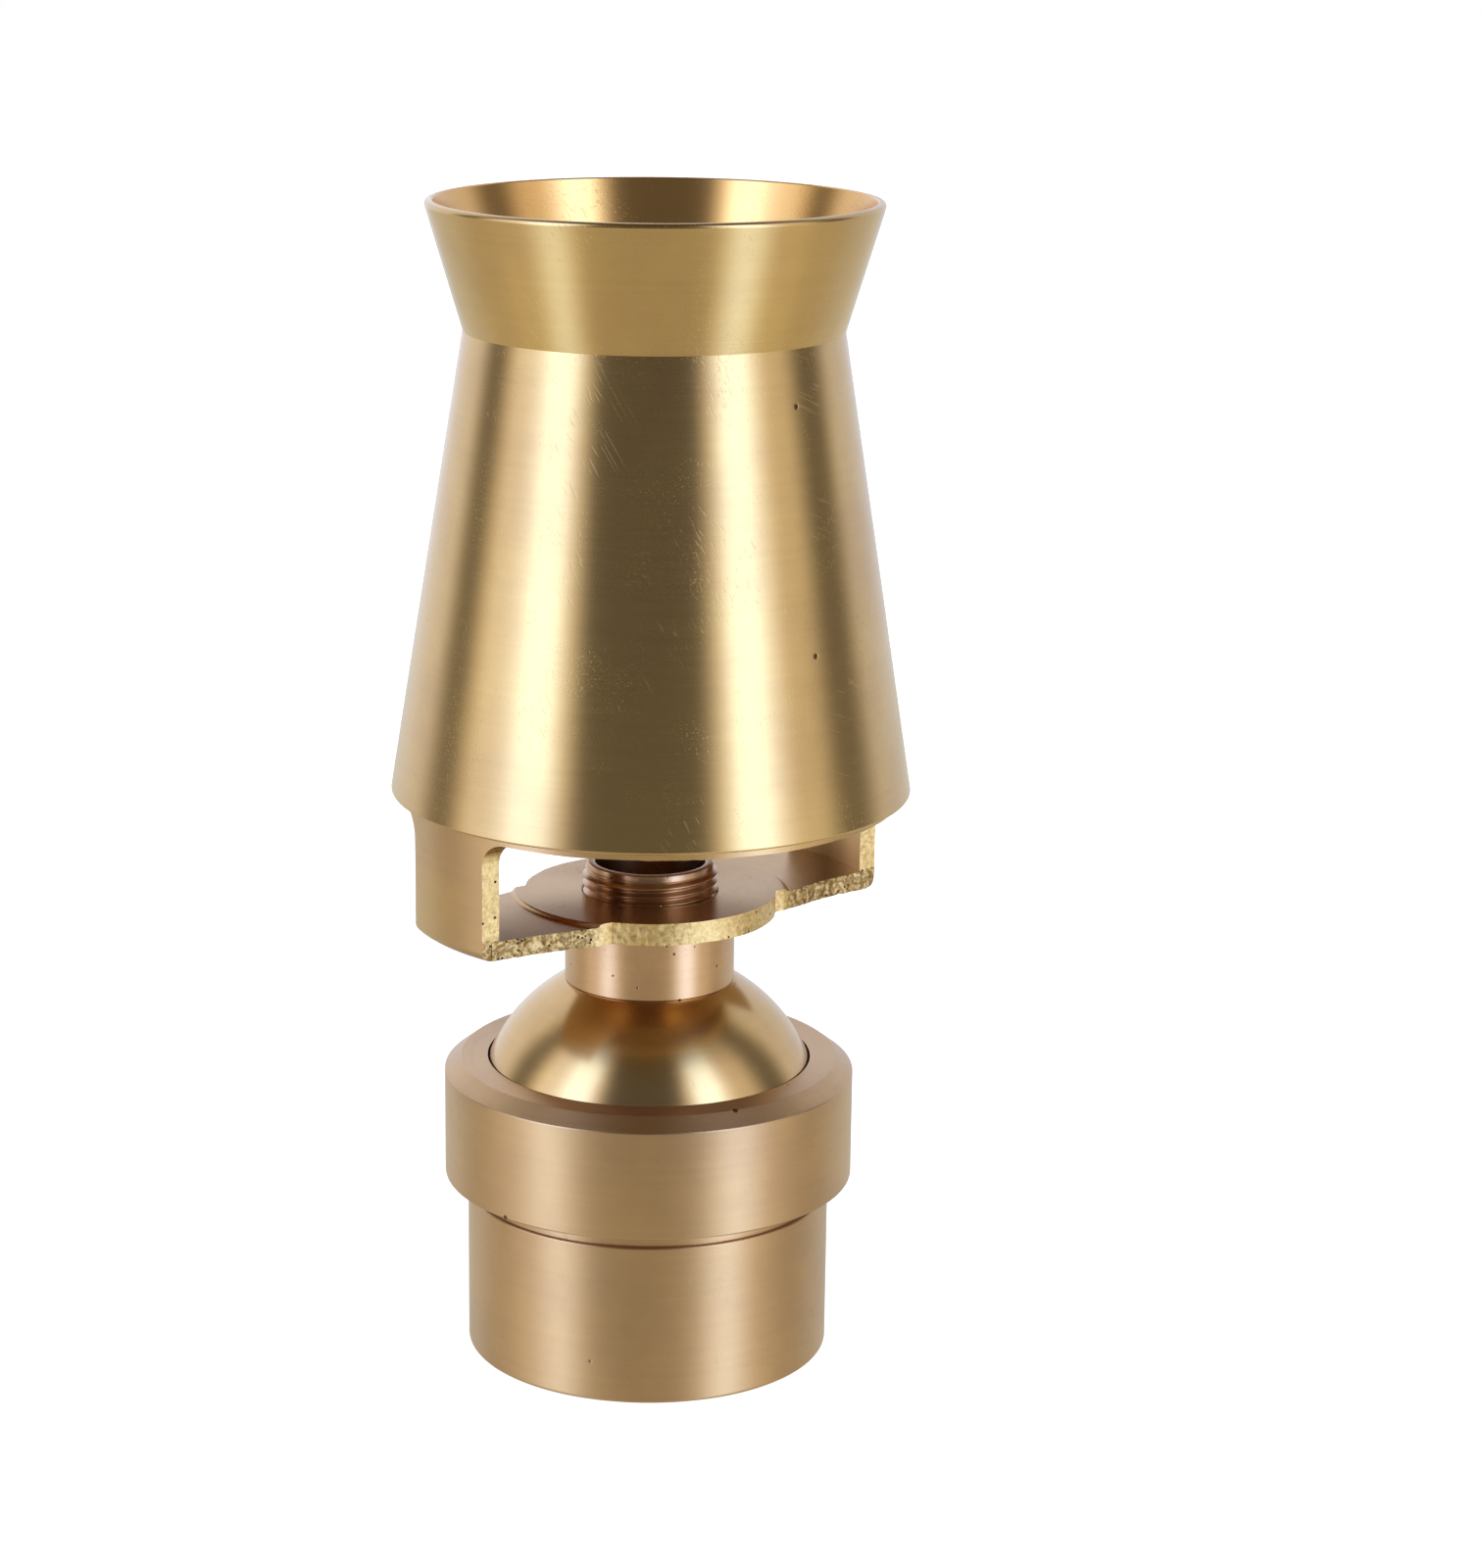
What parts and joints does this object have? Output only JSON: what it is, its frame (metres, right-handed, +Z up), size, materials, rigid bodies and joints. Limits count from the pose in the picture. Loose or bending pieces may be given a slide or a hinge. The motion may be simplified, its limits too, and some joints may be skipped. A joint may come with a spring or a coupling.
{
  "type": "fountain nozzle",
  "caption": "Brass ice-tower fountain nozzle: a flared conical hood on a two-legged yoke, screwed on a jet tube that tilts on a swivel ball above a female-threaded base.",
  "frame": {"origin": "centre of the base's bottom face", "axes": "+Z up along the jet; the yoke's legs stand on the X axis and its windows face -Y and +Y"},
  "size_m": [0.0612, 0.0612, 0.138],
  "materials": {
    "brass_turned": "satin turned brass with fine circular tool marks",
    "brass_hood": "brushed and lightly polished brass with fine scratches",
    "brass_yoke": "turned brass with rough cast and sawn edges",
    "brass_tube": "pinkish tan turned brass, coppery in the threads",
    "brass_ball": "smooth polished brass",
    "ptfe_ring": "waxy white PTFE",
    "rubber_seal": "matt black nitrile rubber"
  },
  "bodies": {
    "base": {"base_body": "brass_turned", "seat_o_ring": "rubber_seal"},
    "gland": {"gland_ring": "ptfe_ring"},
    "nut": {"retaining_nut": "brass_turned"},
    "seat": {"seat_ring": "ptfe_ring"},
    "ball": {"swivel_ball": "brass_ball", "jet_tube": "brass_tube"},
    "lock": {"hub_lock_ring": "rubber_seal"},
    "hood": {"yoke": "brass_yoke", "hood_shell": "brass_hood"}
  },
  "joints": [
    {"name": "nut_travel", "type": "slide", "parent": "base", "child": "gland", "axis": [0, 0, 1], "range_m": [0, 0.003]},
    {"name": "nut_turn", "type": "hinge", "parent": "gland", "child": "nut", "pos_m": [0, 0, 0.028], "axis": [0, 0, 1], "range_deg": [0, 720]},
    {"name": "swivel_azimuth", "type": "hinge", "parent": "base", "child": "seat", "pos_m": [0, 0, 0.0273], "axis": [0, 0, 1], "continuous": true},
    {"name": "swivel_tilt", "type": "hinge", "parent": "seat", "child": "ball", "pos_m": [0, 0, 0.0273], "axis": [1, 0, 0], "range_deg": [-15, 15]},
    {"name": "hood_rise", "type": "slide", "parent": "ball", "child": "lock", "axis": [0, 0, 1], "range_m": [-0.001, 0.003]},
    {"name": "hood_turn", "type": "hinge", "parent": "lock", "child": "hood", "pos_m": [0, 0, 0.055], "axis": [0, 0, 1], "range_deg": [-360, 1080]}
  ],
  "couplings": [
    {"joint": "nut_travel", "follows": "nut_turn", "m_per_rad": 0.00023873},
    {"joint": "hood_rise", "follows": "hood_turn", "m_per_rad": 0.00015915}
  ]
}
